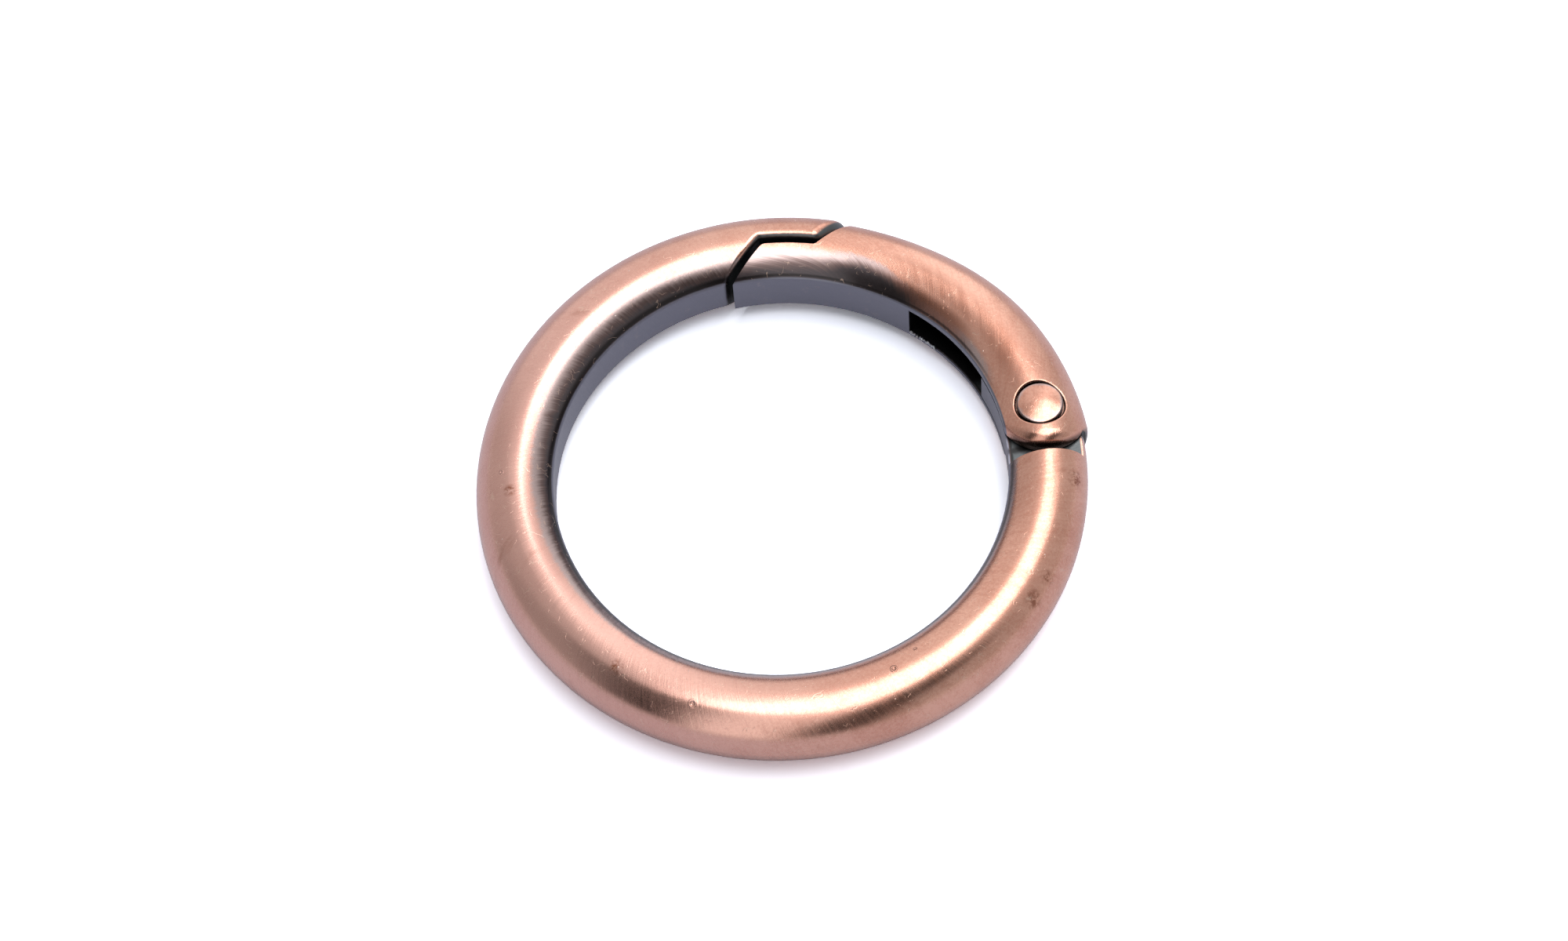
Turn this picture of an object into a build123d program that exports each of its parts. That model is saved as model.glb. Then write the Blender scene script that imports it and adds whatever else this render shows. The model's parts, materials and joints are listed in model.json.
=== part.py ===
from build123d import *
import os
from math import acos, atan2, cos, degrees, hypot, pi, radians, sin, sqrt

# A round spring gate ring: a C-shaped casting, a slotted gate, the rivet it turns on and its coil spring.
# Millimetres and degrees. The ring lies in XY round the origin, at mid thickness, and +X goes through
# the rivet. Angles run anticlockwise from +X, seen from above.

# The ring: a round tube whose eye side is turned flat
EYE_RADIUS = 12.7
OUTER_RADIUS = 17.1
TUBE_RADIUS = 2.33
TUBE_CENTRE = OUTER_RADIUS - TUBE_RADIUS
EYE_EDGE_FILLET = 0.2

# The hinge: pivot, shoulder and tongue of the ring
PIVOT_X = 14.9
SHOULDER_DISTANCE = 3.06
SHOULDER_TILT = -6.7
TONGUE_HALF = 1.0
TONGUE_ROUND = 1.80
TONGUE_NECK_ANGLE = -65.0
TONGUE_STEP = -1.95
TONGUE_TIP_ANGLE = 14.0
TONGUE_TIP_WIDTH = 1.62

# The lap seam. The ring's lip ends in a straight cut, runs back along a stop face and goes in to the eye
# along a second cut. A cut is given by its heading and by its distance from the ring's centre.
LIP_END_TILT = 28.0
LIP_END_DISTANCE = 9.479
LIP_STOP_RADIUS = 14.84
LIP_ROOT_TILT = 37.5
LIP_ROOT_DISTANCE = 10.28
LIP_FILLET = 0.35
LIP_END_FILLET = 0.6
LIP_ROOT_FILLET = 0.25
SEAM_END_GAP = 0.12
SEAM_STOP_GAP = 0.52
SEAM_ROOT_GAP = 0.44

# The gate: an oval tube, fullest round its slot, that draws in towards its free end
GATE_HALF_HEIGHT = 2.33
GATE_FULL = {"centre": 14.74, "half_width": 2.68, "inner": 12.70}
GATE_SLIM = {"centre": 14.52, "half_width": 2.42, "inner": 12.50}
GATE_TAPER = (20.0, 60.0)
GATE_EDGE_FILLET = 0.12
GATE_EDGE_FILLET_START = 0.02
GATE_TIP_ROUND = 0.45
GATE_STOP_ROUND = 0.3
GATE_STATIONS = (12.0, 20.0, 30.0, 40.0, 50.0, 60.0, 72.0, 84.0, 96.0)

# The hinge end of the gate: round in plan, about a middle near the pivot, and rolled over all its rim
GATE_END_MIDDLE = (15.15, 0.07)
GATE_END_RADIUS = 2.64
GATE_END_ROLL = 0.75
GATE_END_START = -16.0

# The slot cored into the gate: a fork round the tongue, a flat back wall and a pocket with a square end
SLOT_HALF = 1.17
SLOT_CLEARANCE = 0.20
SLOT_WALL_END = -1.70
SLOT_WALL_HEADING = 15.3
SLOT_WALL_DISTANCE = 1.92
SLOT_WALL_LENGTH = 3.9
SLOT_POCKET_RADIUS = 15.75
SLOT_END_ANGLE = 41.5

# The rivet, its running hole in the tongue and its seats in the cheeks
RIVET_RADIUS = 0.80
RIVET_RUNNING_GAP = 0.05
RIVET_HEAD_RADIUS = 1.30
RIVET_HEAD_SEAT = 1.70
RIVET_HEAD_RIM = 2.20
RIVET_HEAD_CROWN = 2.42
RIVET_HEAD_ROUND = 0.10
SEAT_GAP = 0.06
SEAT_FILLET = 0.12

# The compression spring, between its blind hole in the tongue and the slot's back wall
SPRING_LINE = 2.215
SPRING_HOLE_FLOOR = -0.83
SPRING_HOLE_RADIUS = 0.65
SPRING_COIL_RADIUS = 0.49
SPRING_WIRE_RADIUS = 0.105
SPRING_WIRE_SIDES = 8
SPRING_TURNS = 5
SPRING_END_PITCH = 0.22
SPRING_WALL_GAP = 0.02

# Larger than the ring, for cutting through
FAR = 30.0


def heading(angle):
    """Unit vector in plan."""
    return Vector(cos(radians(angle)), sin(radians(angle)))


def polar(radius, angle):
    """Plan point at a radius and an angle about the ring's centre."""
    return heading(angle) * radius


PIVOT = Vector(PIVOT_X, 0)


def from_pivot(angle, along, left=0.0):
    """Plan point at a distance along a heading from the pivot and a distance to the left of it."""
    return PIVOT + heading(angle) * along + heading(angle + 90) * left


def on_cut(tilt, distance, radius):
    """Plan point of a straight cut, given by heading and distance from the centre, at a radius."""
    return heading(tilt) * sqrt(radius**2 - distance**2) + heading(tilt + 90) * distance


def prism(outline, half_height):
    """Solid on a closed plan outline, from -half_height to +half_height."""
    return extrude(make_face(outline), half_height, both=True)


def tube_section(centre, half_width, half_height, inner, edge_fillet):
    """Oval section, drawn with x along the radius, cut flat and slightly rounded on its eye side."""
    oval = Pos(centre, 0) * Ellipse(half_width, half_height)
    keep = Pos(inner + 2 * half_width, 0) * Rectangle(4 * half_width, 4 * half_height)
    section = oval & keep
    flat_ends = section.vertices().sort_by(Axis.X)[:2]
    return fillet(flat_ends, edge_fillet)


def ring_blank():
    """The whole ring, before the gate's gap is cut."""
    section = tube_section(TUBE_CENTRE, TUBE_RADIUS, TUBE_RADIUS, EYE_RADIUS, EYE_EDGE_FILLET)
    return revolve(Plane.XZ * section, Axis.Z)


def shoulder(along):
    """Plan point of the shoulder's plane, at a distance outwards from abreast of the pivot."""
    return from_pivot(SHOULDER_TILT, along, -SHOULDER_DISTANCE)


def gate_side(end_gap, stop_gap, root_gap):
    """Prism on the gate's side of the lap seam and of the shoulder, set back from the lip's faces."""
    stop = LIP_STOP_RADIUS - stop_gap
    end = LIP_END_DISTANCE - end_gap
    root = LIP_ROOT_DISTANCE - root_gap
    end_corner = on_cut(LIP_END_TILT, end, stop)
    root_corner = on_cut(LIP_ROOT_TILT, root, stop)
    outside = on_cut(LIP_END_TILT, end, FAR)
    inside = root_corner - heading(LIP_ROOT_TILT) * 6
    stop_middle = (end_corner + root_corner).normalized() * stop
    outline = [
        Line(outside, end_corner),
        ThreePointArc(end_corner, stop_middle, root_corner),
        Line(root_corner, inside),
        Polyline(inside, shoulder(-6), shoulder(FAR), outside),
    ]
    return prism(outline, FAR)


def tongue_prism():
    """The hinge tongue: as wide as the ring at its root, round about the pivot, square at its tip."""
    tip_inner = polar(EYE_RADIUS, TONGUE_TIP_ANGLE)
    tip_back = polar(EYE_RADIUS + TONGUE_TIP_WIDTH, TONGUE_TIP_ANGLE)
    reach = tip_back - PIVOT
    flank_heading = degrees(atan2(reach.Y, reach.X) - acos(TONGUE_ROUND / hypot(reach.X, reach.Y)))
    tangent = from_pivot(flank_heading, TONGUE_ROUND)
    neck = from_pivot(TONGUE_NECK_ANGLE, TONGUE_ROUND)
    round_middle = from_pivot((flank_heading + TONGUE_NECK_ANGLE) / 2, TONGUE_ROUND)
    root = [
        polar(EYE_RADIUS - 1, TONGUE_TIP_ANGLE),
        shoulder(-6),
        shoulder(6),
        (PIVOT_X + 6, TONGUE_STEP),
        (neck.X, TONGUE_STEP),
    ]
    outline = [
        Line(tangent, tip_back),
        Line(tip_back, tip_inner),
        Polyline(tip_inner, *root, neck),
        ThreePointArc(neck, round_middle, tangent),
    ]
    return prism(outline, TONGUE_HALF)


def spring_plane(distance):
    """Plane square to the spring's line, at a distance along it."""
    at = from_pivot(SLOT_WALL_HEADING, distance, SPRING_LINE)
    along = heading(SLOT_WALL_HEADING)
    return Plane(origin=(at.X, at.Y, 0), z_dir=(along.X, along.Y, 0))


def is_lip_root(edge):
    """True for the inner corner at the back of the lip's stop face."""
    at = edge.center()
    return edge.geom_type == GeomType.LINE and (at - polar(LIP_STOP_RADIUS, 81)).length < 0.5


def is_lip_end(edge):
    """True for the edges between the ring's skin and the cut at the end of its lip."""
    at = edge.position_at(0.5)
    return 60 < degrees(atan2(at.Y, at.X)) < 68 and hypot(at.X, at.Y) > LIP_STOP_RADIUS + 0.1


def is_lip_edge(edge):
    """True for the edges between the ring's skin and the lip's stop and root walls."""
    at = edge.position_at(0.5)
    return 68 < degrees(atan2(at.Y, at.X)) < 100 and abs(at.Z) > 1.5 and hypot(at.X, at.Y) < 15


def ring_body():
    """C-shaped casting with its lap lip, shoulder and hinge tongue."""
    gap = gate_side(0, 0, 0) - tongue_prism()
    body = ring_blank() - gap
    body = fillet(body.edges().filter_by(is_lip_root), LIP_ROOT_FILLET)
    body = fillet(body.edges().filter_by(is_lip_end), LIP_END_FILLET)
    body = fillet(body.edges().filter_by(is_lip_edge), LIP_FILLET)
    body -= Pos(PIVOT_X, 0) * Cylinder(RIVET_RADIUS + RIVET_RUNNING_GAP, 3 * TUBE_RADIUS)
    body -= extrude(spring_plane(SPRING_HOLE_FLOOR) * Circle(SPRING_HOLE_RADIUS), 3)
    return body


def gate_section(angle):
    """The gate's section at an angle round the ring, in the plane through the ring's axis."""
    t = min(max((angle - GATE_TAPER[0]) / (GATE_TAPER[1] - GATE_TAPER[0]), 0), 1)
    t = t * t * (3 - 2 * t)
    size = {k: GATE_FULL[k] + (GATE_SLIM[k] - GATE_FULL[k]) * t for k in GATE_FULL}
    out = heading(angle)
    plane = Plane(origin=(0, 0, 0), x_dir=(out.X, out.Y, 0), z_dir=(out.Y, -out.X, 0))
    edge = GATE_EDGE_FILLET_START if angle < GATE_TAPER[0] else GATE_EDGE_FILLET
    section = tube_section(size["centre"], size["half_width"], GATE_HALF_HEIGHT, size["inner"], edge)
    return plane * section


def gate_end():
    """The gate's hinge end: a plain oval tube, ended round and rolled over, then turned out to the eye."""
    oval = Pos(GATE_FULL["centre"], 0) * Ellipse(GATE_FULL["half_width"], GATE_HALF_HEIGHT)
    start = Rot(0, 0, GATE_END_START) * (Plane.XZ * oval)
    tube = revolve(start, Axis.Z, GATE_STATIONS[0] - GATE_END_START)
    middle = Pos(*GATE_END_MIDDLE)
    tube -= middle * (Pos(0, -3) * Box(9, 6, 8) - Cylinder(GATE_END_RADIUS, 9))
    rim = tube.edges().filter_by(GeomType.BSPLINE).filter_by(lambda e: e.position_at(0.5).Y < 0)
    tube = fillet(rim, GATE_END_ROLL)
    return tube - Cylinder(GATE_FULL["inner"], 9)


def gate_slot():
    """Core of the gate's fork and pocket, open to the eye and down towards the shoulder."""
    clear = TONGUE_ROUND + SLOT_CLEARANCE
    last = -degrees(acos(sqrt(clear**2 - SLOT_WALL_END**2) / clear))
    wall_start = SLOT_WALL_HEADING + degrees(acos(SLOT_WALL_DISTANCE / clear))
    wall_end = from_pivot(SLOT_WALL_HEADING, SLOT_WALL_DISTANCE, SLOT_WALL_LENGTH)
    pocket_middle = polar(SLOT_POCKET_RADIUS + 0.15, 28)
    pocket_end = polar(SLOT_POCKET_RADIUS, SLOT_END_ANGLE)
    fork_start = from_pivot(last, clear)
    fork_end = from_pivot(wall_start, clear)
    open_side = [
        polar(EYE_RADIUS - 1.2, SLOT_END_ANGLE),
        (PIVOT_X - 5, 0),
        (PIVOT_X - 5, -6),
        (PIVOT_X + 5, -6),
        (PIVOT_X + 5, SLOT_WALL_END),
    ]
    outline = [
        ThreePointArc(fork_start, from_pivot((last + wall_start) / 2, clear), fork_end),
        Line(fork_end, wall_end),
        ThreePointArc(wall_end, pocket_middle, pocket_end),
        Polyline(pocket_end, *open_side, fork_start),
    ]
    return prism(outline, SLOT_HALF)


def is_tip_corner(edge):
    """True for the gate's upright corner beside the ring's root."""
    at = edge.center()
    return edge.geom_type == GeomType.LINE and degrees(atan2(at.Y, at.X)) > 75


def is_stop_corner(edge):
    """True for the gate's upright corner beside the end of the ring's lip."""
    at = edge.center()
    return edge.geom_type == GeomType.LINE and 60 < degrees(atan2(at.Y, at.X)) < 75


def is_seat_rim(edge):
    """True for the rims of the rivet's seats on the gate's skin."""
    at = edge.position_at(0.5) - PIVOT
    off_seat = abs(hypot(at.X, at.Y) - RIVET_HEAD_RADIUS - SEAT_GAP)
    return off_seat < 0.01 and abs(at.Z) > RIVET_HEAD_SEAT + 0.05


def spring_gate():
    """The moving arc, with its slot, its fork and the seats of the rivet."""
    gate = gate_end() + loft([gate_section(angle) for angle in GATE_STATIONS])
    gate &= gate_side(SEAM_END_GAP, SEAM_STOP_GAP, SEAM_ROOT_GAP)
    gate = fillet(gate.edges().filter_by(is_tip_corner), GATE_TIP_ROUND)
    gate = fillet(gate.edges().filter_by(is_stop_corner), GATE_STOP_ROUND)
    seat = Cylinder(RIVET_HEAD_RADIUS + SEAT_GAP, 4, align=(Align.CENTER, Align.CENTER, Align.MIN))
    gate -= Pos(PIVOT_X, 0, RIVET_HEAD_SEAT) * seat
    gate -= Pos(PIVOT_X, 0, -RIVET_HEAD_SEAT) * Rot(180, 0, 0) * seat
    gate = fillet(gate.edges().filter_by(is_seat_rim), SEAT_FILLET)
    gate -= gate_slot()
    gate -= Pos(PIVOT_X, 0) * Cylinder(RIVET_RADIUS, 3 * GATE_HALF_HEIGHT)
    return gate


def hinge_pin():
    """The rivet: a shank through fork and tongue, with a low domed head set in each cheek."""
    rim = (RIVET_HEAD_RADIUS, RIVET_HEAD_RIM)
    crown = (0, RIVET_HEAD_CROWN)
    rise = RIVET_HEAD_CROWN - RIVET_HEAD_RIM
    dome = (RIVET_HEAD_RADIUS**2 + rise**2) / (2 * rise)
    half = [
        Polyline((0, 0), (RIVET_RADIUS, 0), (RIVET_RADIUS, RIVET_HEAD_SEAT)),
        Polyline((RIVET_RADIUS, RIVET_HEAD_SEAT), (RIVET_HEAD_RADIUS, RIVET_HEAD_SEAT), rim),
        RadiusArc(rim, crown, -dome),
        Line(crown, (0, 0)),
    ]
    section = make_face(half)
    corner = section.vertices().sort_by_distance(rim)[0]
    section = fillet(corner, RIVET_HEAD_ROUND)
    half_pin = revolve(Plane.XZ * section, Axis.Z)
    return Pos(PIVOT_X, 0) * (half_pin + mirror(half_pin, Plane.XY))


def spring_height(turn, length):
    """Height of the wire's middle after a number of turns: one close turn at each end, open between."""
    close = SPRING_END_PITCH
    pitch = (length - 2 * close) / (SPRING_TURNS - 2)
    if turn < 1:
        return close * turn
    if turn > SPRING_TURNS - 1:
        return length - close * (SPRING_TURNS - turn)
    return close + pitch * (turn - 1)


def gate_spring():
    """Compression spring with ground ends, standing in its hole and against the slot's back wall."""
    length = SLOT_WALL_DISTANCE - SPRING_WALL_GAP - SPRING_HOLE_FLOOR
    steps = 12 * SPRING_TURNS
    points = [
        Vector(
            SPRING_COIL_RADIUS * cos(2 * pi * i / 12),
            SPRING_COIL_RADIUS * sin(2 * pi * i / 12),
            spring_height(i / 12, length),
        )
        for i in range(steps + 1)
    ]
    path = Spline(*points)
    section = RegularPolygon(SPRING_WIRE_RADIUS, SPRING_WIRE_SIDES)
    wire = sweep(Plane(origin=path @ 0, z_dir=path % 0) * section, path)
    ground = Pos(0, 0, length / 2) * Box(2, 2, length)
    return spring_plane(SPRING_HOLE_FLOOR).location * (wire & ground)


def build():
    """Writes every piece to its own file."""
    os.makedirs("parts", exist_ok=True)
    pieces = {
        "ring_body": ring_body(),
        "spring_gate": spring_gate(),
        "hinge_pin": hinge_pin(),
        "gate_spring": gate_spring(),
    }
    for name, piece in pieces.items():
        piece.label = name
        export_step(piece, f"parts/{name}.step")
        print(f"{name}: {piece.volume:.2f} mm3, {len(piece.solids())} solid, valid {piece.is_valid}")


build()
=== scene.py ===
# %% [markdown]
# # A spring gate ring in antique copper
# The object is a small round ring for bags and keys: a C-shaped casting, a slotted gate that turns
# inwards on a rivet, and a coil spring that shuts it. The solids were drawn elsewhere.
# This lesson dresses them: each gets its metal, the spring gets its real coil, the slot a little
# casting flash, and the whole is lit. It starts by loading the solids as a fixed frame. Everything
# is in metres, in the ring's own axes: the middle of the eye is the origin, +X goes through the
# rivet and +Z stands up from the table.

# %% Load the frame
import bpy
import json
from math import cos, degrees, pi, radians, sin, tau
from mathutils import Matrix, Vector


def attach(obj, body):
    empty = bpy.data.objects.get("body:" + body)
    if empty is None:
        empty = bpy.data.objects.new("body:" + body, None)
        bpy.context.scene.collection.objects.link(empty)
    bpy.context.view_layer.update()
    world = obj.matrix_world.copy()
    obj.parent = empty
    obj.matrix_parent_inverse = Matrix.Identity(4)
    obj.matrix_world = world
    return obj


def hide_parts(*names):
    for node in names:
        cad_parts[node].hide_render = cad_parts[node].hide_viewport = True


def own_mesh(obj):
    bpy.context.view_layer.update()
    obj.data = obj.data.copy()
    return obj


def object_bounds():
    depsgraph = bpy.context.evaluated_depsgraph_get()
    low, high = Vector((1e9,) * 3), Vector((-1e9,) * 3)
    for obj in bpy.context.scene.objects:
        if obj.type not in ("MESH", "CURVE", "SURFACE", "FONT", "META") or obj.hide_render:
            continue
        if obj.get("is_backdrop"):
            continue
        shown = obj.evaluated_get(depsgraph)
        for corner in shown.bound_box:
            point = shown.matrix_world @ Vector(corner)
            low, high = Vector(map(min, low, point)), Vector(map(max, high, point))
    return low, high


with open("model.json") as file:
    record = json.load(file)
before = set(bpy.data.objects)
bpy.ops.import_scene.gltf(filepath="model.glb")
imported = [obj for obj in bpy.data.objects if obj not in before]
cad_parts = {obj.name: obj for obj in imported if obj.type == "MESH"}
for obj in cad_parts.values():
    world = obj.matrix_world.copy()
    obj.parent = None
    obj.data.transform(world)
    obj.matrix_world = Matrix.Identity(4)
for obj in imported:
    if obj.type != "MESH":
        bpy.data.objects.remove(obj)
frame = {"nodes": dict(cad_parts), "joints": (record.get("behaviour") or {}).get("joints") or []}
cad_box = [list(corner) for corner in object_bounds()]
MM = 0.001


def in_mm(sizes):
    """Lengths in metres as rounded millimetres, to print."""
    return [round(size / MM, 2) for size in sizes]


print("nodes", sorted(frame["nodes"]))
print("box in mm", in_mm(high - low for low, high in zip(*cad_box)))

# %% [markdown]
# ## Node maths as plain expressions
# A brushed and toned metal is mostly arithmetic: distances along and round the tube, stretched
# noise and soft thresholds. Wiring that by hand hides the idea, so a small class wraps the output
# of a node and turns Python's operators into Math nodes. Shaders and Geometry Nodes share those
# nodes, so the one class serves both.

# %% A number that changes from place to place
class Field:
    """The output of a node, with the sums that a finish or a form needs."""

    def __init__(self, bench, socket):
        self.bench = bench
        self.socket = socket

    def output(self, name):
        """Another output of the same node."""
        return Field(self.bench, self.socket.node.outputs[name])

    def math(self, operation, *others):
        return self.bench.node("ShaderNodeMath", [self, *others], operation=operation)

    def __add__(self, other):
        return self.math("ADD", other)

    def __sub__(self, other):
        return self.math("SUBTRACT", other)

    def __mul__(self, other):
        return self.math("MULTIPLY", other)

    def __truediv__(self, other):
        return self.math("DIVIDE", other)

    def __pow__(self, other):
        return self.math("POWER", other)

    __radd__ = __add__
    __rmul__ = __mul__

    def __rsub__(self, other):
        return self * -1.0 + other

    def __abs__(self):
        return self.math("ABSOLUTE")

    def most(self, other):
        return self.math("MAXIMUM", other)

    def clip(self):
        return self.bench.node("ShaderNodeClamp", [self, 0.0, 1.0])

    def rise(self, start, end):
        """0 at start, 1 at end and smooth between them, whichever is the larger."""
        values = [self, start, end, 0.0, 1.0] if start < end else [self, end, start, 1.0, 0.0]
        return self.bench.node("ShaderNodeMapRange", values, interpolation_type="SMOOTHSTEP")

    def near(self, value, full, none):
        """1 where the number is within full of a value, 0 where it is further off than none."""
        return abs(self - value).rise(none, full)


# %% The bench where a tree of nodes is made
class Bench:
    """Makes the nodes of one tree."""

    def __init__(self, tree):
        self.tree = tree
        self.tree.nodes.clear()

    def node(self, kind, inputs=(), out=0, **settings):
        """Any node, with its settings, and values or links for its sockets by place or name."""
        made = self.tree.nodes.new(kind)
        for key, value in settings.items():
            setattr(made, key, value)
        for key, value in inputs.items() if isinstance(inputs, dict) else enumerate(inputs):
            if isinstance(value, Field):
                self.tree.links.new(value.socket, made.inputs[key])
            else:
                made.inputs[key].default_value = value
        return Field(self, made.outputs[out]) if made.outputs else None


print("fields know", sum(callable(part) for part in vars(Field).values()), "methods")

# %% [markdown]
# ## A workshop for finishes
# Every finish needs the same few things besides sums: noise, colours laid over each other, the
# distance from a point, a relief and a last surface. A second class adds them to the bench. The
# world's light is made of the same nodes as a material, so it can use this workshop too.

# %% The workshop
class Workshop(Bench):
    """Makes the nodes of one material, or of the world."""

    def __init__(self, owner):
        owner.use_nodes = True
        self.owner = owner
        super().__init__(owner.node_tree)

    def split(self, vector):
        made = self.node("ShaderNodeSeparateXYZ", [vector])
        return [made.output(axis) for axis in "XYZ"]

    def noise(self, where, scale, detail=2.0, roughness=0.5):
        sockets = {"Vector": where, "Scale": scale, "Detail": detail, "Roughness": roughness}
        return self.node("ShaderNodeTexNoise", sockets)

    def blend(self, share, a, b):
        """Colour a where share is 0, colour b where it is 1."""
        return self.node("ShaderNodeMix", {0: share, 6: a, 7: b}, out=2, data_type="RGBA")

    def apart(self, where, point):
        """Distance from a point."""
        return self.node("ShaderNodeVectorMath", [where, point], out=1, operation="DISTANCE")

    def relief(self, height, depth):
        """Normal of a surface raised by a field, by a depth in metres where the field is 1."""
        return self.node("ShaderNodeBump", {"Strength": 1.0, "Distance": depth, "Height": height})

    def finish(self, constants, varying):
        """Principled surface: plain numbers on its own sockets, fields linked to the others."""
        surface = self.node("ShaderNodeBsdfPrincipled", {**constants, **varying})
        self.node("ShaderNodeOutputMaterial", [surface])
        return self.owner


def new_shop(name):
    """Workshop for a new material."""
    return Workshop(bpy.data.materials.new(name))


print("a workshop adds", [name for name in vars(Workshop) if not name.startswith("_")])

# %% [markdown]
# ## Reading a place on the ring
# Two angles describe a place on a round tube bent into a ring: how far round the ring it is, from
# the rivet, and how far round the tube, from the outermost line up over the crest and down into
# the eye. An abrasive belt leaves fine lines that run round the tube, across the ring. Noise that
# is squeezed along the ring and stretched round the tube gives them. It is drawn on a circle, from
# the angle's cosine and sine, so that it closes on itself with no seam, and a slant turns the
# lines where the wheel met the tube askew.

# %% The two angles as fields
RING_LINE = 14.77
TUBE = 2.33
PIVOT = Vector(frame["joints"][0]["pos_m"]) / MM


class Place:
    """The place being shaded, in mm. Angles are in radians, or in degrees where they say so."""

    def __init__(self, shop):
        self.shop = shop
        metres = shop.node("ShaderNodeTexCoord", out=3)
        self.point = shop.node("ShaderNodeVectorMath", {0: metres, 3: 1 / MM}, operation="SCALE")
        self.x, self.y, self.z = shop.split(self.point)
        self.height = abs(self.z)
        self.radius = (self.x * self.x + self.y * self.y) ** 0.5
        self.ring = self.y.math("ARCTAN2", self.x)
        self.turn = self.z.math("ARCTAN2", self.radius - RING_LINE)
        self.ring_degrees = self.ring * degrees(1)
        self.tube_degrees = abs(self.turn) * degrees(1)

    def brushed(self, slant, across, along, seed):
        """Brush lines: so many to the mm across the brush, and drawn out along it."""
        angle = self.ring + self.turn * slant
        reach = RING_LINE * across
        x = angle.math("COSINE") * reach
        y = angle.math("SINE") * reach
        where = self.shop.node("ShaderNodeCombineXYZ", [x, y, self.turn * (TUBE * along) + seed])
        return self.shop.noise(where, 1.0, 3.0, 0.6)

    def from_axis(self, x, y):
        """Distance from an upright line."""
        return ((self.x - x) ** 2.0 + (self.y - y) ** 2.0) ** 0.5


print("rivet at", [round(v, 2) for v in PIVOT], "mm")

# %% [markdown]
# ## Small wear
# A ring that has been handled carries specks of dust and short curled hairline scratches. Both are
# many and alike, so a rule scatters them. Specks come from a cell texture in which only a few
# cells are chosen. Scratches are contour lines of a noise, kept only where a wider noise allows.

# %% Specks and scratches
def specks(place, scale, size, share):
    """1 on small round specks: size in cell widths, share of the cells that hold one."""
    cells = place.shop.node("ShaderNodeTexVoronoi", {"Vector": place.point, "Scale": scale})
    chance = place.shop.split(cells.output("Color"))[0]
    return cells.output("Distance").rise(size, size * 0.6) * chance.rise(1 - share, 1 - share * 0.8)


def hairlines(place, scale, thin, seed):
    """1 on short curled scratches."""
    shift = [place.point, (seed, 0.0, seed)]
    where = place.shop.node("ShaderNodeVectorMath", shift, operation="ADD")
    line = place.shop.noise(where, scale, 1.0, 0.4).near(0.5, thin * 0.4, thin)
    return line * place.shop.noise(where, scale * 1.1, 0.0).rise(0.645, 0.685)


print("small wear:", specks.__name__, "and", hairlines.__name__)

# %% [markdown]
# ## Pits and stains
# Casting pits and brown stains are few and the eye finds them, so each has its own place: an angle
# round the ring, an angle round the tube, both in degrees, and a radius in mm. A pit is a small
# hollow with a raised lip. A stain fades outwards and is broken up by a fine cloud.

# %% Marks with a place of their own
PITS = [
    (-120.7, 68.6, 0.17), (-78.0, 97.0, 0.14), (-71.5, 110.7, 0.08), (168.0, 72.0, 0.09),
    (33.0, 118.0, 0.07),
]
STAINS = [
    (-17.5, 44.5, 0.8), (-40.0, 46.0, 0.6), (-45.5, 47.5, 0.8), (172.7, 83.0, 0.5),
    (-138.2, 73.5, 0.6),
]


def marks(place, table):
    """For each mark in a table, the distance from it and its radius."""
    for around_ring, around_tube, size in table:
        ring, tube = radians(around_ring), radians(around_tube)
        out = RING_LINE + TUBE * cos(tube)
        middle = (out * cos(ring), out * sin(ring), TUBE * sin(tube))
        yield place.shop.apart(place.point, middle), size


def pits(place):
    """Height of the casting pits."""
    height = 0.0
    for far, size in marks(place, PITS):
        lip = far.near(size * 1.15, size * 0.1, size * 0.5) * 0.7
        height = lip - far.rise(size, size * 0.35) + height
    return height


def stains(place):
    """1 on the brown stains."""
    stained = place.z * 0.0
    for far, size in marks(place, STAINS):
        stained = stained.most(far.rise(size, 0.0))
    cloud = place.shop.noise(place.point, 3.5, 3.0, 0.65)
    return (stained * (cloud.rise(0.36, 0.64) * 1.5)).clip()


print(len(PITS), "pits and", len(STAINS), "stains have their own places")

# %% [markdown]
# ## Antique copper
# The real finish is a copper plate that is chemically darkened all over, brushed bright again
# where a wheel can reach, and lacquered. So the outer and upper skin is bright copper, and the
# colour sinks through rose grey and umber to soot towards the eye, with brush lines that bite
# through its edge. The flat inside the eye, where no wheel goes, stays gunmetal. One recipe
# serves all three copper pieces. Each piece gives it five masks: where it is brown, how dark it
# is, where its eye's flat is, where its cast walls are, and where it is near black: painted shade
# in gaps and hollows, a painted dark reflection on the gate, and dark lines at the eye's edge.

# %% Colours
def srgb(red, green, blue):
    """Colour for a socket, from display values of 0 to 255."""
    def straight(value):
        value = value / 255
        return value / 12.92 if value <= 0.04045 else ((value + 0.055) / 1.055) ** 2.4
    return (straight(red), straight(green), straight(blue), 1.0)


COPPER = srgb(245, 187, 164)
COPPER_DEEP = srgb(222, 158, 135)
COPPER_ROSE = srgb(230, 182, 172)
COPPER_BROWN = srgb(172, 112, 90)
ROSE_GREY = srgb(204, 180, 176)
UMBER = srgb(126, 104, 100)
SOOT = srgb(92, 84, 86)
GREY_CAST = srgb(98, 102, 104)
GUNMETAL = srgb(138, 138, 152)
GREY_SMUDGE = srgb(172, 162, 168)
# Near black for painted shade in gaps and hollows, a painted dark reflection and dark lines.
SHADE_AND_LINE_BLACK = srgb(30, 26, 26)
SCRATCHED = srgb(250, 214, 192)
DUSTY = srgb(250, 236, 226)
print("bright copper reflects", [round(part, 2) for part in COPPER[:3]])


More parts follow.
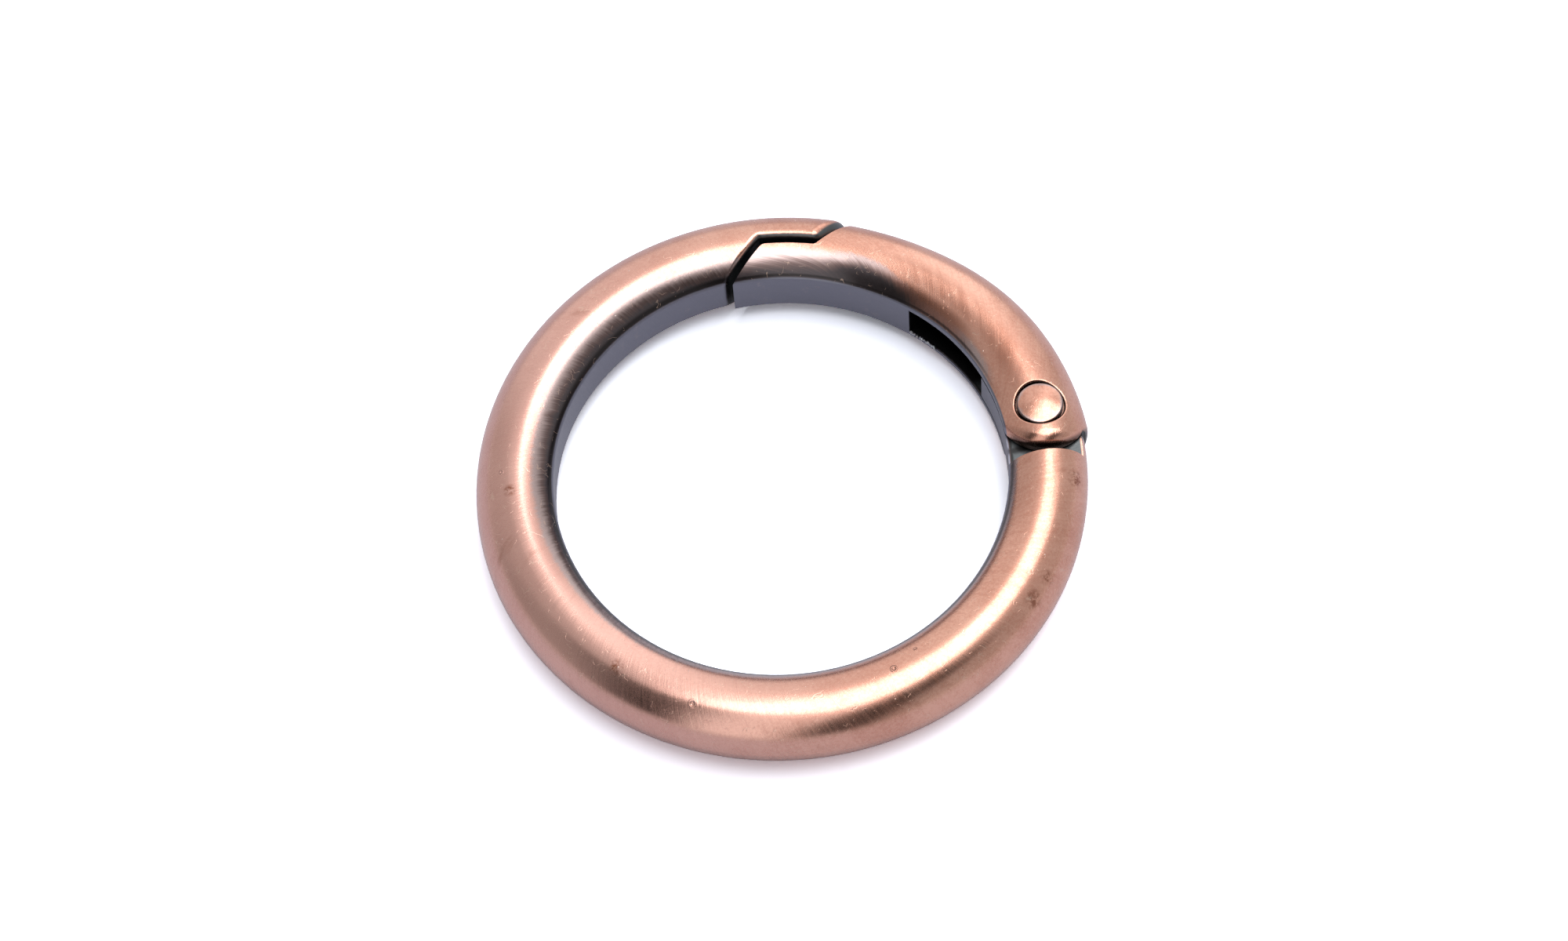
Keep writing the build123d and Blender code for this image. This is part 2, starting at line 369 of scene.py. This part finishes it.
# %% How the colour is laid on
def copper_colour(place, fine, medium, grain, masks):
    """Colour of the skin, laid on from the bright plate up to the painted shade and dark lines."""
    shop = place.shop
    dark, brown = masks["dark"], masks["brown"].clip()
    wide = shop.noise(place.point, 0.23, 3.0, 0.55)
    mottled = wide.rise(0.35, 0.65) * 0.6 + (medium - 0.4) + (grain - 0.5) * 2.2
    colour = shop.blend(mottled.clip(), COPPER, COPPER_DEEP)
    colour = shop.blend(place.x.rise(6.0, -14.0) * 0.6, colour, COPPER_ROSE)
    colour = shop.blend(brown, colour, COPPER_BROWN)
    bite = (fine - 0.5) * 1.32 + (medium - 0.5) * 1.02
    tone = dark + bite * dark * (1 - dark * 0.8)
    colour = shop.blend(tone.rise(0.0, 0.3), colour, shop.blend(brown, ROSE_GREY, COPPER_BROWN))
    colour = shop.blend(tone.rise(0.3, 0.8), colour, UMBER)
    colour = shop.blend(tone.rise(0.7, 1.05), colour, SOOT)
    colour = shop.blend(masks["walls"], colour, GREY_CAST)
    smudge = shop.noise(place.point, 0.9, 4.0, 0.65).rise(0.56, 0.74) * grain.rise(0.42, 0.6)
    colour = shop.blend(masks["flat"], colour, shop.blend(smudge * 0.6, GUNMETAL, GREY_SMUDGE))
    # Last the near black: painted shade in gaps and hollows, a painted dark reflection and dark
    # lines.
    return shop.blend(masks["dirt"], colour, SHADE_AND_LINE_BLACK)


print("bright skin is", round(COPPER[0] / SOOT[0], 1), "times as bright as soot")

# %% The common skin
RELIEF = 0.005 * MM
LACQUER = {"Metallic": 1.0, "Coat Weight": 0.5, "Coat Roughness": 0.12, "Coat IOR": 1.45}


def copper_skin(place, slant, masks):
    """Finish of one copper piece. The factors below are each layer's weight."""
    shop = place.shop
    fine = place.brushed(slant, across=9.0, along=0.35, seed=3.0)
    medium = place.brushed(slant, across=3.2, along=0.25, seed=8.0)
    grain = shop.noise(place.point, 6.5, 3.0, 0.7)
    bare = (1 - masks["flat"]) * (1 - masks["walls"])
    dust = specks(place, scale=2.2, size=0.10, share=0.10) * bare
    wide_hairs = hairlines(place, scale=1.3, thin=0.014, seed=5.0)
    scratch = wide_hairs.most(hairlines(place, scale=2.1, thin=0.016, seed=11.0)) * bare
    colour = copper_colour(place, fine, medium, grain, masks)
    colour = shop.blend(scratch * 0.35, colour, SCRATCHED)
    colour = shop.blend(dust * 0.7, colour, DUSTY)
    rough = 0.20 + fine * 0.12 + (medium - 0.5) * 0.08 + (grain - 0.5) * 0.12
    rough = rough + masks["dark"] * 0.10 + masks["flat"] * 0.1 + masks["walls"] * 0.12 + dust * 0.2
    height = fine * 0.6 + medium * 0.4 + grain * 0.5 - scratch * 0.5 + pits(place) * 9.0
    normal = shop.relief(height + dust * 1.2, RELIEF)
    return shop.finish(
        LACQUER, {"Base Color": colour, "Roughness": rough.clip(), "Normal": normal})


def toned(place, lines, coarse, start, end, ragged):
    """Share of darkening: grows from one angle round the tube to another, with a ragged edge."""
    angle = place.tube_degrees + (lines - 0.5) * ragged + (coarse - 0.5) * (ragged * 0.8)
    return ((angle - start) / (end - start)).clip()


print("relief of the skin", in_mm([RELIEF * 9])[0], "mm at the deepest pit")

# %% [markdown]
# ## The ring's finish
# The wheel reached least far into the eye at the back left, so the darkening starts nearer the
# crest there and further down at the front right. The angle where it starts follows a cosine round
# the ring. A dark line lies beside the eye's flat, and shade is painted near black in the gap under
# the gate's round end. The lap and the shoulder at the hinge are cast walls that were never
# brushed. They are found by their depth: they lie inside the tube's own skin.

# %% Ring
EYE = 12.7
RING_SLANT = 0.06
LEAST_BRUSHED = radians(140)
DARK_FROM, DARK_CLIMB = 131, 24
DARK_WIDTH, DARK_RAGGED = 30, 9


def ring_finish():
    shop = new_shop("antique copper ring")
    place = Place(shop)
    lines = place.brushed(RING_SLANT, across=5.0, along=0.22, seed=1.0)
    coarse = place.brushed(0.1, across=0.9, along=0.3, seed=2.0)
    away = (place.ring - LEAST_BRUSHED).math("COSINE") * 0.5 + 0.5
    start = DARK_FROM - away ** 1.3 * DARK_CLIMB
    inside = ((place.radius - RING_LINE) ** 2.0 + place.z * place.z) ** 0.5
    deep = inside.rise(TUBE - 0.04, TUBE - 0.12)
    eye_line = place.radius.rise(EYE + 0.36, EYE + 0.2) * place.radius.rise(EYE + 0.05, EYE + 0.14)
    # Shade painted near black on the shoulder under the gate's round end, in the gap.
    under_gate = place.y.near(-1.95, 0.06, 0.36) * place.x.near(PIVOT.x, 2.2, 2.6)
    painted_gap_shade = under_gate * place.height.rise(2.1, 1.6)
    faint = coarse.rise(0.55, 0.75) * shop.noise(place.point, 0.35, 2.0, 0.5).rise(0.56, 0.64)
    masks = {
        "brown": (faint * 0.35).most(stains(place)),
        "dark": toned(place, lines, coarse, start, start + DARK_WIDTH, DARK_RAGGED),
        "flat": place.radius.rise(EYE + 0.12, EYE + 0.06),
        "walls": deep * place.radius.rise(EYE + 0.1, EYE + 0.2),
        # Near black: the dark line beside the eye's flat and the painted shade under the gate.
        "dirt": (eye_line * 0.85).most(painted_gap_shade * 0.85),
    }
    return copper_skin(place, RING_SLANT, masks)


ring_copper = ring_finish()
print("ring finish:", len(ring_copper.node_tree.nodes), "nodes")

# %% [markdown]
# ## The gate's finish
# The gate was brushed by hand, so its lines lean more towards the seam. The darkening climbs from
# the eye's edge towards the crest on the half beside the seam, sooty where it begins and brown at
# its border. The gate's section is an oval that grows slimmer towards the free end, so its skin,
# the seam's faces, the fork's inner faces and the slot are all told apart by how deep they lie in
# that oval. Shade is painted near black in the gap round the rivet's seat, under the round end
# and in the slot, and a dark reflection is painted near the eye's edge a little short of the seam.

# %% Measures of the gate
GATE_LINE, GATE_HALF = 14.74, 2.68
SLIMMER_EYE, SLIMMER_LINE, SLIMMER_HALF = 0.2, 0.22, 0.26
FORK_HALF = 1.17
SEAT = 1.36
GATE_END = (15.15, 0.07)
PATCH_FROM, PATCH_CLIMB = 152, 48
PATCH_WIDTH, PATCH_RAGGED = 36, 12
print("the gate's section is", GATE_HALF - SLIMMER_HALF, "to", GATE_HALF, "mm from its middle")


# %% Faces of the gate
def gate_faces(place):
    """Masks of the gate's faces: the eye's flat, the cast walls and the hollow of the slot."""
    ring = place.ring_degrees
    slim = ring.rise(20, 60)
    past_eye = place.radius - (EYE - slim * SLIMMER_EYE)
    reach = place.radius - (GATE_LINE - slim * SLIMMER_LINE)
    reach = reach / (GATE_HALF - slim * SLIMMER_HALF)
    inside = (reach * reach + (place.z / TUBE) ** 2.0) ** 0.5
    flat = past_eye.rise(0.11, 0.05)
    seam = inside.rise(0.97, 0.86) * ring.rise(58, 60)
    fork = inside.rise(0.985, 0.955) * place.height.rise(FORK_HALF + 0.03, FORK_HALF + 0.005)
    fork = fork * ring.rise(48, 46)
    walls = seam.most(fork) * past_eye.rise(0.05, 0.15)
    # The slot's hollow, where shade is painted near black.
    hollow = fork * ring.rise(17, 20) * (1 - flat)
    return past_eye, flat, walls, hollow


print("the slot lies within", FORK_HALF, "mm of the gate's middle plane")

# %% Gate
def gate_finish():
    shop = new_shop("antique copper gate")
    place = Place(shop)
    ring, tube = place.ring_degrees, place.tube_degrees
    past_eye, flat, walls, hollow = gate_faces(place)
    slant = 0.25 + ring.rise(30, 70) * 0.45
    lines = place.brushed(slant, across=5.0, along=0.22, seed=21.0)
    coarse = place.brushed(slant, across=0.9, along=0.3, seed=22.0)
    # About 50 degrees round the ring a dark reflection is painted: the patch starts sooner and
    # darkens faster.
    shaded = ring.near(50, 5, 17)
    start = PATCH_FROM - ring.rise(20, 62) * PATCH_CLIMB - shaded * 4
    end = start + PATCH_WIDTH - shaded * 15
    patch = toned(place, lines, coarse, start, end, PATCH_RAGGED)
    fade = (past_eye.rise(0.75, 0.1) * ring.rise(6, 24) * (lines + 0.2)).clip()
    crest = tube.near(100, 6, 30) * ring.near(28, 10, 30) * (coarse.rise(0.2, 0.8) * 0.5 + 0.35)
    border = tube.rise(100, 128) * ring.near(38, 8, 20)
    # Painted dark reflection on the inner side, laid on near black.
    painted_dark_reflection = shaded * tube.rise(117, 137) * (1 - flat)
    eye_line = past_eye.near(0.17, 0.02, 0.09) * ring.rise(4, 22)
    # Painted shade in the gap round the rivet's seat.
    seat = place.from_axis(PIVOT.x, 0.0).near(SEAT, 0.02, 0.12) * place.height.rise(1.2, 1.5)
    # Painted shade on the round end's rim, in the gap over the ring's shoulder.
    round_end = place.from_axis(*GATE_END).rise(2.46, 2.62) * place.y.rise(-0.9, -1.6)
    # Near black: the line at the eye's edge, painted shade and the painted dark reflection.
    dirt = (eye_line * 0.7).most(seat * 0.85).most(round_end * 0.8)
    dirt = dirt.most(hollow * 0.9).most(painted_dark_reflection * 0.55)
    masks = {
        "brown": crest.most(border * 0.8), "dark": patch.most(fade * 0.8), "flat": flat,
        "walls": walls, "dirt": dirt,
    }
    return copper_skin(place, slant, masks)


gate_copper = gate_finish()
print("gate finish:", len(gate_copper.node_tree.nodes), "nodes")

# %% [markdown]
# ## The rivet's finish
# The rivet was set after plating and polished with the rest, so its head is bright copper with a
# little brown cloud, dark at the rim, with shade painted in the gap round it, and grey down its
# side, where it sits in the cheek.

# %% Rivet
def rivet_finish():
    shop = new_shop("copper rivet")
    place = Place(shop)
    out = place.from_axis(PIVOT.x, 0.0)
    cloud = shop.noise(place.point, 1.3, 3.0, 0.6)
    masks = {
        "brown": cloud.rise(0.45, 0.75) * 0.5,
        "dark": (out.rise(0.95, 1.3) * 0.4 + (cloud - 0.62)).clip(),
        "flat": out * 0.0,
        "walls": place.height.rise(2.24, 2.1) * 0.8,
        # Painted shade round the head's edge, in the gap where it sits in the cheek.
        "dirt": out.rise(1.2, 1.27) * 0.7,
    }
    return copper_skin(place, 0.5, masks)


rivet_copper = rivet_finish()

# %% Give the solids their finish
FINISHES = {"ring_body": ring_copper, "spring_gate": gate_copper, "hinge_pin": rivet_copper}
for name, material in FINISHES.items():
    mesh = frame["nodes"][name].data
    mesh.materials.clear()
    mesh.materials.append(material)
    print(name, "gets", material.name, "on", len(mesh.polygons), "faces")

# %% [markdown]
# ## A bench for forms
# A form that follows a rule is best made by Geometry Nodes: its measures stay named inputs, and
# the same fields and sums serve as in the finishes. The tree ends in real geometry with its
# material. It is run once and kept as a plain mesh, because other programs can't run the nodes.

# %% The bench for forms
def in_scene(name, data):
    """New object in the scene, at the origin."""
    made = bpy.data.objects.new(name, data)
    bpy.context.scene.collection.objects.link(made)
    return made


class FormBench(Bench):
    """Builds one Geometry Nodes tree with named inputs."""

    def __init__(self, name, measures):
        super().__init__(bpy.data.node_groups.new(name, "GeometryNodeTree"))
        face = self.tree.interface
        face.new_socket("Geometry", in_out="INPUT", socket_type="NodeSocketGeometry")
        self.sockets = {}
        for label, value in measures.items():
            kind = {float: "Float", int: "Int"}.get(type(value), "Vector")
            made = face.new_socket(label, in_out="INPUT", socket_type="NodeSocket" + kind)
            self.sockets[label] = made.identifier
        face.new_socket("Geometry", in_out="OUTPUT", socket_type="NodeSocketGeometry")
        self.start = self.node("NodeGroupInput")
        self.measures = measures

    def given(self, label):
        return self.start.output(label)

    def on_circle(self, angle, radius, height):
        """Positions from an angle, a radius and a height."""
        x, y = angle.math("COSINE") * radius, angle.math("SINE") * radius
        return self.node("ShaderNodeCombineXYZ", [x, y, height])

    def line(self, points):
        """A curve of so many points, and each point's share of the way along it."""
        curve = self.node("GeometryNodeCurvePrimitiveLine", {"End": (0.0, 0.0, 1.0)})
        curve = self.node("GeometryNodeResampleCurve", {"Curve": curve, "Count": points})
        return curve, self.node("GeometryNodeInputIndex") / float(points - 1)

    def sweep(self, curve, radius, sides):
        """Round wire along a curve."""
        outline = {"Resolution": sides, "Radius": radius}
        outline = self.node("GeometryNodeCurvePrimitiveCircle", outline)
        sockets = {"Curve": curve, "Profile Curve": outline, "Fill Caps": True}
        return self.node("GeometryNodeCurveToMesh", sockets)

    def bake(self, name, geometry, material):
        """Ends the tree, runs it, and returns its result as a plain mesh at the origin."""
        real = self.node("GeometryNodeRealizeInstances", {0: geometry})
        dressed = self.node("GeometryNodeSetMaterial", {"Geometry": real, "Material": material})
        self.node("NodeGroupOutput", [dressed])
        maker = in_scene(name + "_maker", bpy.data.meshes.new(name))
        modifier = maker.modifiers.new("nodes", "NODES")
        modifier.node_group = self.tree
        for label, value in self.measures.items():
            modifier[self.sockets[label]] = value
        ready = maker.evaluated_get(bpy.context.evaluated_depsgraph_get())
        made = in_scene(name, bpy.data.meshes.new_from_object(ready))
        bpy.data.objects.remove(maker)
        made.data.name = name
        print(name, len(made.data.polygons), "faces, box", in_mm(made.dimensions), "mm")
        return made


# %% [markdown]
# ## Bare steel
# Two small things are neither plated nor brushed: the spring's drawn wire and the raw metal on the
# slot's edge. One recipe serves both. A wide noise mixes a light and a dull grey, and a fine one
# roughens the surface, as drawing and casting do.

# %% Steel
def steel_finish(name, light, dull):
    shop = new_shop(name)
    place = Place(shop)
    wide = shop.noise(place.point, 2.5, 2.0)
    draw = shop.noise(place.point, 14.0, 2.0)
    varying = {
        "Base Color": shop.blend(wide.rise(0.35, 0.7), light, dull),
        "Roughness": (0.26 + draw * 0.14).clip(),
        "Normal": shop.relief(draw, 0.002 * MM),
    }
    return shop.finish({"Metallic": 1.0}, varying)


spring_steel = steel_finish("drawn spring steel", srgb(176, 178, 184), srgb(112, 108, 106))
cast_edge = steel_finish("bare cast edge", srgb(214, 216, 220), srgb(150, 146, 150))
print("steel finishes:", spring_steel.name, "and", cast_edge.name)

# %% [markdown]
# ## The coil spring
# Behind the tongue a short compression spring pushes the gate shut. A coil is a rule, not a form:
# a wire follows a helix, whose end turns lie close so that they stand flat. A curve is made of
# many points, each is moved to its place on the helix by its own number, a round wire is swept
# along it, and the result is turned onto the spring's line in the tongue.

# %% Measures of the spring
SPRING_HEADING = radians(15.3)
SPRING_FLOOR = -0.83
SPRING_SIDE = 2.215
SPRING_LENGTH = 2.73
SPRING_COIL = 0.49
SPRING_WIRE = 0.1
SPRING_TURNS = 5
STEPS_A_TURN = 36
CLOSED_TURNS = [(0.2, 0.0805), (0.8, 0.9195)]
along = Vector((cos(SPRING_HEADING), sin(SPRING_HEADING), 0))
across = Vector((-along.y, along.x, 0))
spring_foot = PIVOT + along * SPRING_FLOOR + across * SPRING_SIDE
print("spring foot at", [round(v, 2) for v in spring_foot], "mm")


# %% Helix tree
def coil_spring():
    bench = FormBench("coil spring", {
        "Length": SPRING_LENGTH * MM, "Coil radius": SPRING_COIL * MM,
        "Wire radius": SPRING_WIRE * MM, "Turns": float(SPRING_TURNS),
        "Foot": spring_foot * MM, "Turned": (0.0, pi / 2, SPRING_HEADING),
    })
    curve, share = bench.line(SPRING_TURNS * STEPS_A_TURN + 1)
    angle = share * bench.given("Turns") * tau
    pitch = bench.node("ShaderNodeFloatCurve", {"Value": share, "Factor": 1.0})
    mapping = pitch.socket.node.mapping
    for at, height in CLOSED_TURNS:
        mapping.curves[0].points.new(at, height)
    for point in mapping.curves[0].points:
        point.handle_type = "VECTOR"
    mapping.update()
    wire = bench.given("Wire radius")
    height = pitch * (bench.given("Length") - wire * 2.0) + wire
    helix = bench.on_circle(angle, bench.given("Coil radius"), height)
    curve = bench.node("GeometryNodeSetPosition", {"Geometry": curve, "Position": helix})
    coil = bench.node("GeometryNodeSetShadeSmooth", {"Geometry": bench.sweep(curve, wire, 12)})
    stood = {"Translation": bench.given("Foot"), "Rotation": bench.given("Turned")}
    coil = bench.node("GeometryNodeTransform", {"Geometry": coil, **stood})
    return bench.bake("coil_spring", coil, spring_steel)


spring = coil_spring()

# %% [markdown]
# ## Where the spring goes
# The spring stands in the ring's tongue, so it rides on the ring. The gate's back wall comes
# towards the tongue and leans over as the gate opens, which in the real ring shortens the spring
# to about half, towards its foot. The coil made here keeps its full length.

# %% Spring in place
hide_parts("gate_spring")
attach(spring, "ring")
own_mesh(spring)

# %% [markdown]
# ## Flash along the slot
# The gate is cast, and where the two halves of its die met inside the slot a little metal squeezed
# out. It was never filed away: a few bright beads and a thin thread of flash stay on the slot's
# lower edge, beside its square end. The beads are one small ball, set along an arc by rule and
# each with its own size and turn.

# %% Measures of the flash
FLASH_RADIUS = 12.63
FLASH_FROM, FLASH_TO = 41.2, 33.6
FLASH_HEIGHT = -1.14
FLASH_BEADS = 13
FLASH_UNEVEN = 0.05
FLASH_SIZES = (0.06, 0.13)
FLASH_THREAD = 0.02
BEAD_FORM = (1.5, 0.8, 1.0)
print("flash runs over", round(FLASH_FROM - FLASH_TO, 1), "degrees of the ring")


# %% Flash tree
def slot_flash():
    bench = FormBench("slot flash", {
        "Radius": FLASH_RADIUS * MM, "From": radians(FLASH_FROM), "To": radians(FLASH_TO),
        "Height": FLASH_HEIGHT * MM, "Smallest": FLASH_SIZES[0] * MM,
        "Largest": FLASH_SIZES[1] * MM, "Seed": 6,
    })

    def random(kind, ends, out):
        """A random number or vector for each bead."""
        sockets = {**ends, "Seed": bench.given("Seed")}
        return bench.node("FunctionNodeRandomValue", sockets, out=out, data_type=kind)

    path, share = bench.line(FLASH_BEADS)
    share = share + random("FLOAT", {2: -FLASH_UNEVEN, 3: FLASH_UNEVEN}, 1)
    angle = bench.given("From") + share * (bench.given("To") - bench.given("From"))
    arc = bench.on_circle(angle, bench.given("Radius"), bench.given("Height"))
    path = bench.node("GeometryNodeSetPosition", {"Geometry": path, "Position": arc})
    ball = bench.node("GeometryNodeMeshIcoSphere", {"Radius": 1.0, "Subdivisions": 3})
    ball = bench.node("GeometryNodeTransform", {"Geometry": ball, "Scale": BEAD_FORM})
    size = random("FLOAT", {2: bench.given("Smallest"), 3: bench.given("Largest")}, 1)
    turned = random("FLOAT_VECTOR", {0: (0.0, 0.0, 0.0), 1: (tau, tau, tau)}, 0)
    sockets = {"Points": path, "Instance": ball, "Rotation": turned, "Scale": size}
    beads = bench.node("GeometryNodeInstanceOnPoints", sockets)
    thread = bench.sweep(path, FLASH_THREAD * MM, 8)
    both = bench.node("GeometryNodeJoinGeometry", [beads])
    bench.tree.links.new(thread.socket, both.socket.node.inputs[0])
    smooth = bench.node("GeometryNodeSetShadeSmooth", {"Geometry": both})
    return bench.bake("slot_flash", smooth, cast_edge)


flash = slot_flash()
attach(flash, "gate")

# %% [markdown]
# ## The table
# The ring lies on a sheet of pale paper that keeps its soft shadow. White paper throws so much
# light back that it washes out the underside of polished metal. So the paper is white, and a
# little blue in the shadow, where the camera looks at it, and grey to the light that goes on to
# the metal.

# %% Table
TABLE_SEEN = (1.86, 1.91, 2.08, 1.0)
TABLE_MIRRORED = (0.60, 0.60, 0.67, 1.0)
TABLE_HALF = 1.5


def paper_finish():
    shop = new_shop("white table")
    seen = shop.node("ShaderNodeLightPath").output("Is Camera Ray")
    grey = shop.node("ShaderNodeBsdfDiffuse", {"Color": TABLE_MIRRORED})
    white = shop.node("ShaderNodeBsdfDiffuse", {"Color": TABLE_SEEN})
    paper = shop.node("ShaderNodeMixShader", [seen, grey, white])
    shop.node("ShaderNodeOutputMaterial", [paper])
    return shop.owner


table_z = cad_box[0][2]
corners = [(-1, -1), (1, -1), (1, 1), (-1, 1)]
sheet = bpy.data.meshes.new("table")
points = [(x * TABLE_HALF, y * TABLE_HALF, table_z) for x, y in corners]
sheet.from_pydata(points, [], [(0, 1, 2, 3)])
sheet.materials.append(paper_finish())
table = in_scene("table", sheet)
table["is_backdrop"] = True
print("table at", round(table_z / MM, 2), "mm")

# %% [markdown]
# ## The tent
# Polished metal shows what stands round it, so the room matters more than the lamp. The world is a
# pale tent. Every direction in it is given by two sines: across the lamp's length and along it.
# Each place in the tent is a soft-edged rectangle in those two, with its own light, and later
# places cover earlier ones. The front is dim, with a bright wall in its middle and a dark shape on
# each side of that wall. They give the ring its dark bands.

# %% Places in the tent
CAMERA_TURN = radians(-8.9)
LAMP_TURN = 58.0
TENT_LIGHT = 0.52
TENT_COLOUR = (0.98, 0.99, 1.0, 1.0)
SKYLINE_LIGHT = 0.62
SKYLINE_HEIGHT = 0.20
# Name: across from, across to, along from, along to, softness of the edges, light.
PLACES = {
    "front left": (-1.10, -0.20, -1.10, -0.25, 0.14, 0.36),
    "right": (0.55, 1.10, -1.10, 0.30, 0.14, 0.42),
    "back left": (-1.10, 0.20, 0.32, 1.10, 0.12, 0.88),
    "bright back strip": (-0.32, -0.06, 0.60, 1.10, 0.06, 1.40),
    "bright front wall": (-0.08, 0.48, -1.10, -0.26, 0.06, 1.05),
    "dark shape, right": (0.46, 0.79, -1.10, 0.12, 0.05, 0.02),
    "shade, left": (-0.50, -0.10, -1.10, -0.28, 0.12, 0.14),
    "dark shape, left": (-0.34, -0.05, -1.10, -0.31, 0.04, 0.0),
}
print("the tent has", len(PLACES), "places")


# %% Tent
def direction(azimuth, from_zenith):
    """Unit vector, from an azimuth in the camera's own frame and an angle from straight up."""
    azimuth = radians(azimuth) + CAMERA_TURN
    low = sin(radians(from_zenith))
    return Vector((low * cos(azimuth), low * sin(azimuth), cos(radians(from_zenith))))


def tent():
    """The dome of the tent, and the places in it that are lighter or darker."""
    shop = Workshop(bpy.data.worlds.new("white tent"))
    look = shop.node("ShaderNodeTexCoord", out=0)

    def part(way):
        """How far a look goes one way, as a sine."""
        return shop.node("ShaderNodeVectorMath", [look, way], out=1, operation="DOT_PRODUCT")

    across = part(direction(LAMP_TURN - 90, 90))
    along = part(direction(LAMP_TURN, 90))
    level = across * 0.0 + TENT_LIGHT
    for left, right, front, back, soft, light in PLACES.values():
        inside = across.rise(left - soft, left + soft) * across.rise(right + soft, right - soft)
        inside = inside * along.rise(front - soft, front + soft)
        inside = inside * along.rise(back + soft, back - soft)
        level = level * (1 - inside) + inside * light
    low = part((0.0, 0.0, 1.0)).rise(SKYLINE_HEIGHT, 0.0)
    level = level * (1 - low) + low * SKYLINE_LIGHT
    dome = shop.node("ShaderNodeBackground", {"Color": TENT_COLOUR, "Strength": level})
    shop.node("ShaderNodeOutputWorld", [dome])
    return shop.owner


bpy.context.scene.world = tent()
print("tent:", len(bpy.context.scene.world.node_tree.nodes), "nodes")

# %% [markdown]
# ## The lamp
# A large soft lamp hangs overhead, a little behind the ring and turned across the view. It makes
# the long highlight along the ring's crest and the soft shadow on the paper.

# %% Overhead lamp
LAMP_AZIMUTH = 17.0
LAMP_TILT = 11.5
LAMP_HEIGHT = 0.45
LAMP_WIDE, LAMP_LONG = 0.284, 0.44
LAMP_LEVEL = 2.85


def axes(x, y, z, place):
    """Matrix of an object with these axes, at this place."""
    return Matrix([(*row, at) for row, at in zip(zip(x, y, z), place)] + [(0, 0, 0, 1)])


lamp_data = bpy.data.lights.new("overhead softbox", "AREA")
lamp_data.shape = "RECTANGLE"
lamp_data.size, lamp_data.size_y = LAMP_WIDE, LAMP_LONG
lamp_data.energy = LAMP_LEVEL * pi * LAMP_WIDE * LAMP_LONG
lamp = in_scene("overhead softbox", lamp_data)
towards = direction(LAMP_AZIMUTH, LAMP_TILT)
length = direction(LAMP_TURN, 90.0)
length = (length - towards * length.dot(towards)).normalized()
lamp.matrix_world = axes(length.cross(towards), length, towards, towards * LAMP_HEIGHT)
print("lamp", round(lamp_data.energy, 2), "W")

# %% [markdown]
# ## The camera
# The ring is seen from well above and a little from the right. The camera's own axes are worked
# out from an elevation and a roll, and its lens is long, so that the ring keeps its round form.

# %% Camera
ELEVATION = radians(60.1)
ROLL = radians(-4.96)
OUTER_RADIUS = 17.1 * MM
CAMERA_AWAY = 14 * OUTER_RADIUS
CAMERA_RIGHT = 0.0082 * OUTER_RADIUS
CAMERA_UP = 0.0337 * OUTER_RADIUS
yaw = Matrix.Rotation(CAMERA_TURN, 3, "Z")
away = yaw @ Vector((0, -cos(ELEVATION), sin(ELEVATION)))
level = yaw @ Vector((1, 0, 0))
upright = yaw @ Vector((0, sin(ELEVATION), cos(ELEVATION)))
right = cos(ROLL) * level + sin(ROLL) * upright
up = -sin(ROLL) * level + cos(ROLL) * upright
eye_point = away * CAMERA_AWAY + right * CAMERA_RIGHT + up * CAMERA_UP
camera_data = bpy.data.cameras.new("camera")
camera_data.sensor_width = 36
camera_data.lens = 98.3304
camera_data.clip_start = 0.01
camera = in_scene("camera", camera_data)
camera.matrix_world = axes(right, up, away, eye_point)
bpy.context.scene.camera = camera
bpy.context.scene.view_settings.view_transform = "Standard"
print("lens", round(camera_data.lens, 1), "mm at", round(eye_point.length, 3), "m")

# %% [markdown]
# ## Sizes and finish
# The box of the finished model is set beside the box of the solids. The dressing adds no size.

# %% Sizes
model_box = [list(corner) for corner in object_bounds()]
print("model box in mm", in_mm(high - low for low, high in zip(*model_box)))
